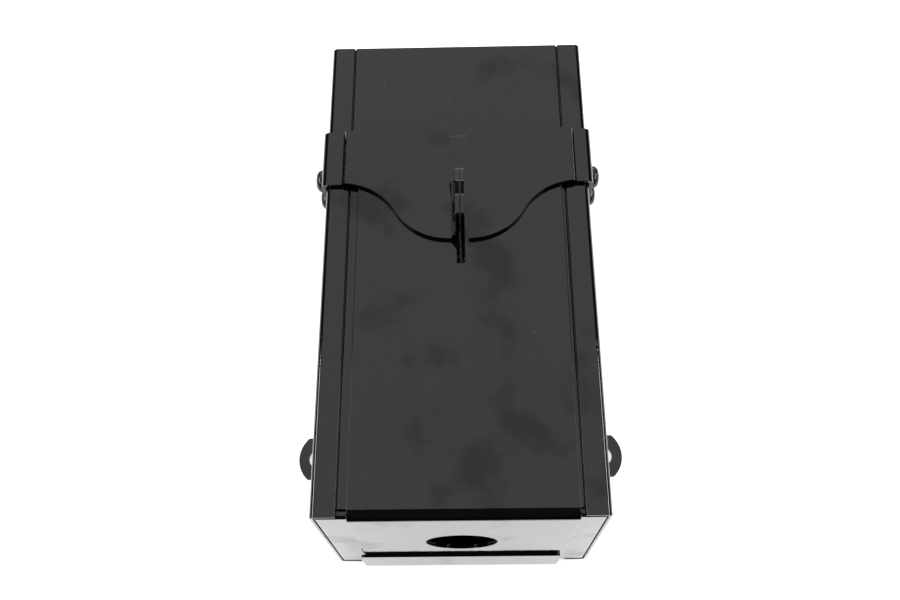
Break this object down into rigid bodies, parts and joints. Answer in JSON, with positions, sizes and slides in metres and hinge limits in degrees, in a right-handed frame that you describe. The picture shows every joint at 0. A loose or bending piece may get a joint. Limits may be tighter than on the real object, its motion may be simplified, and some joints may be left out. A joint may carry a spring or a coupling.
{
  "type": "battery box",
  "caption": "Folded sheet-steel battery box with a pull-off cap, a curved collar, a padlock hasp, two mounting ears and a cable hole.",
  "frame": {"origin": "middle of the bounding box's bottom face: the box lies on its back", "axes": "+X across the box, +Y along it from the closed end to the cap, +Z from the back to the front cover; the ear screws point along Z"},
  "size_m": [0.1488, 0.209, 0.117],
  "materials": {
    "black_gloss_coat": "gloss powder coat",
    "black_screw": "black oxide",
    "plated_steel": "zinc plated"
  },
  "bodies": {
    "body": {"side_panel_left": "black_gloss_coat", "side_panel_right": "black_gloss_coat", "front_sheet": "black_gloss_coat", "back_sheet": "black_gloss_coat", "end_plate": "black_gloss_coat", "cover_panel": "black_gloss_coat", "back_panel": "black_gloss_coat", "hasp_plate": "black_gloss_coat"},
    "cap": {"cap_side_left": "black_gloss_coat", "cap_side_right": "black_gloss_coat", "cap_front_sheet": "black_gloss_coat", "cap_back_sheet": "black_gloss_coat", "cap_end_plate": "black_gloss_coat", "collar_left": "black_gloss_coat", "collar_right": "black_gloss_coat", "screws_left": "black_screw", "screws_right": "black_screw", "washers_left": "black_screw", "washers_right": "black_screw", "nuts_left": "plated_steel", "nuts_right": "plated_steel"}
  },
  "joints": [
    {"name": "cap_slide", "type": "slide", "parent": "body", "child": "cap", "axis": [0, 1, 0], "range_m": [0, 0.06]}
  ]
}
